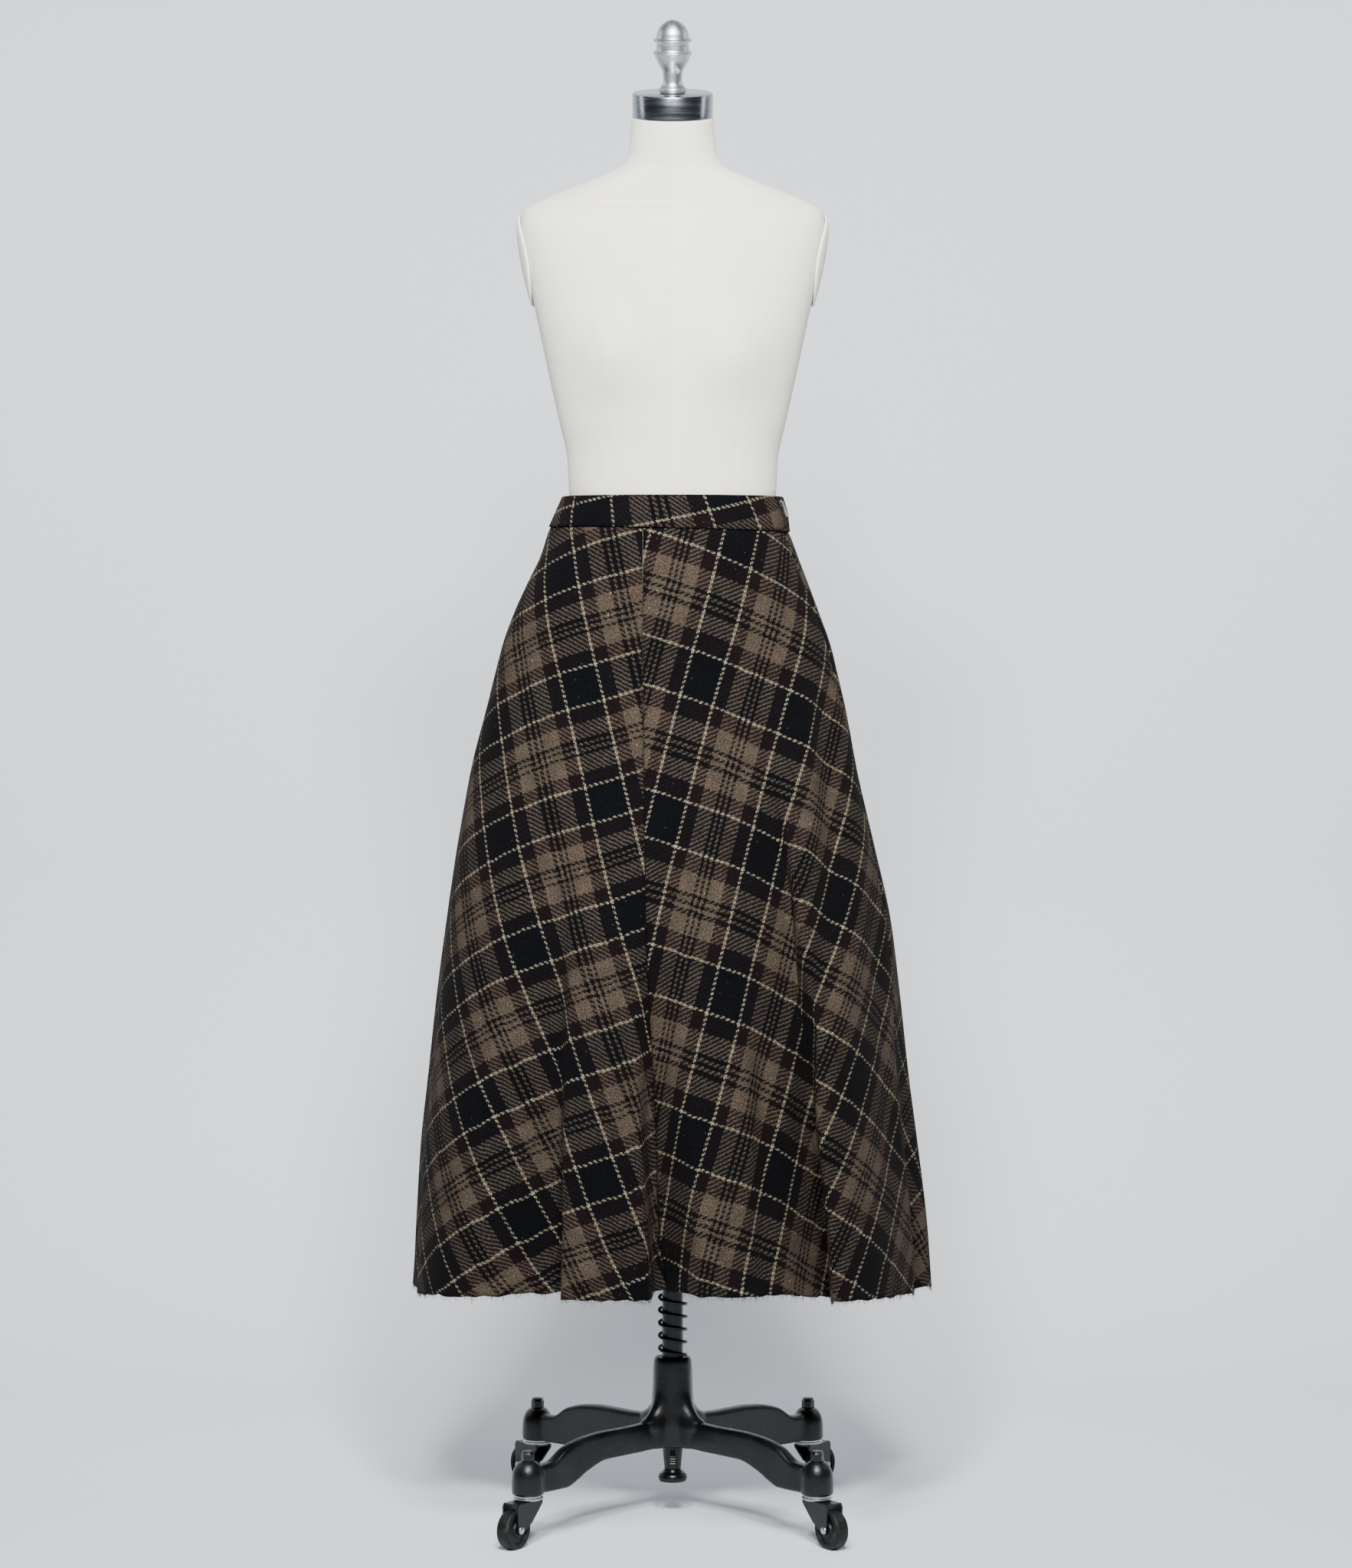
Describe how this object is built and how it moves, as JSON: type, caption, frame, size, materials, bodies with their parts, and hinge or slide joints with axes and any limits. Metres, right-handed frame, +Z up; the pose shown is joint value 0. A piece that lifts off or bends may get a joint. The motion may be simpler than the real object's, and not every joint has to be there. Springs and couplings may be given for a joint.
{
  "type": "flared skirt on a dress form",
  "caption": "Long flared wool skirt in bias check panels with a narrow waistband, worn by a limbless dress form on a four-legged caster stand.",
  "frame": {"origin": "on the floor under the stand's post, midway between the four casters", "axes": "+Z up along the post, -Y the way the wearer faces, +X towards the wearer's left"},
  "size_m": [0.6205, 0.4678, 1.7724],
  "materials": {
    "wool_check": "fuzzy twill wool check",
    "linen_cover": "plain linen",
    "cap_steel": "brushed",
    "finial_metal": "satin cast",
    "black_enamel": "semi-gloss enamel on cast iron",
    "wheel_rubber": "smooth dark rubber",
    "bright_steel": "nickel plated"
  },
  "bodies": {
    "stand": {"base_casting": "black_enamel", "rod_sleeve": "black_enamel", "spring": "black_enamel", "stem_nut_front_left": "black_enamel", "stem_nut_front_right": "black_enamel", "stem_nut_rear_left": "black_enamel", "stem_nut_rear_right": "black_enamel", "bearing_front_left": "bright_steel", "bearing_front_right": "bright_steel", "bearing_rear_left": "bright_steel", "bearing_rear_right": "bright_steel"},
    "form": {"form_torso": "linen_cover", "arm_plate_left": "linen_cover", "arm_plate_right": "linen_cover", "neck_cap": "cap_steel", "finial": "finial_metal", "finial_screw": "finial_metal", "post": "black_enamel", "top_flange": "black_enamel", "spring_collar": "black_enamel", "height_rod": "black_enamel", "rod_foot": "black_enamel", "panel_front_left": "wool_check", "panel_back_left": "wool_check", "panel_back_right": "wool_check", "panel_front_right": "wool_check", "waistband_front": "wool_check", "waistband_back": "wool_check", "zip_slider": "bright_steel"},
    "pull_tab": {"zip_pull": "bright_steel"},
    "swivel_front_left": {"fork_front_left": "black_enamel", "axle_front_left": "bright_steel"},
    "roller_front_left": {"wheel_front_left": "wheel_rubber"},
    "swivel_front_right": {"fork_front_right": "black_enamel", "axle_front_right": "bright_steel"},
    "roller_front_right": {"wheel_front_right": "wheel_rubber"},
    "swivel_rear_left": {"fork_rear_left": "black_enamel", "axle_rear_left": "bright_steel"},
    "roller_rear_left": {"wheel_rear_left": "wheel_rubber"},
    "swivel_rear_right": {"fork_rear_right": "black_enamel", "axle_rear_right": "bright_steel"},
    "roller_rear_right": {"wheel_rear_right": "wheel_rubber"}
  },
  "joints": [
    {"name": "height_slide", "type": "slide", "parent": "stand", "child": "form", "axis": [0, 0, 1], "range_m": [-0.03, 0], "deforming": ["spring"]},
    {"name": "pull_tab_hinge", "type": "hinge", "parent": "form", "child": "pull_tab", "pos_m": [0.12895, -0.03823, 1.20765], "axis": [0.443, 0.8777, 0.1826], "range_deg": [-120, 0]},
    {"name": "swivel_front_left", "type": "hinge", "parent": "stand", "child": "swivel_front_left", "pos_m": [-0.167, -0.167, 0.054], "axis": [0, 0, 1], "continuous": true},
    {"name": "roll_front_left", "type": "hinge", "parent": "swivel_front_left", "child": "roller_front_left", "pos_m": [-0.1829, -0.18882, 0.0227], "axis": [-0.8083, 0.5887, 0], "continuous": true},
    {"name": "swivel_front_right", "type": "hinge", "parent": "stand", "child": "swivel_front_right", "pos_m": [0.167, -0.167, 0.054], "axis": [0, 0, 1], "continuous": true},
    {"name": "roll_front_right", "type": "hinge", "parent": "swivel_front_right", "child": "roller_front_right", "pos_m": [0.1829, -0.18882, 0.0227], "axis": [-0.8083, -0.5887, 0], "continuous": true},
    {"name": "swivel_rear_left", "type": "hinge", "parent": "stand", "child": "swivel_rear_left", "pos_m": [-0.167, 0.167, 0.054], "axis": [0, 0, 1], "continuous": true},
    {"name": "roll_rear_left", "type": "hinge", "parent": "swivel_rear_left", "child": "roller_rear_left", "pos_m": [-0.1829, 0.18882, 0.0227], "axis": [0.8083, 0.5887, 0], "continuous": true},
    {"name": "swivel_rear_right", "type": "hinge", "parent": "stand", "child": "swivel_rear_right", "pos_m": [0.167, 0.167, 0.054], "axis": [0, 0, 1], "continuous": true},
    {"name": "roll_rear_right", "type": "hinge", "parent": "swivel_rear_right", "child": "roller_rear_right", "pos_m": [0.1829, 0.18882, 0.0227], "axis": [0.8083, -0.5887, 0], "continuous": true}
  ]
}
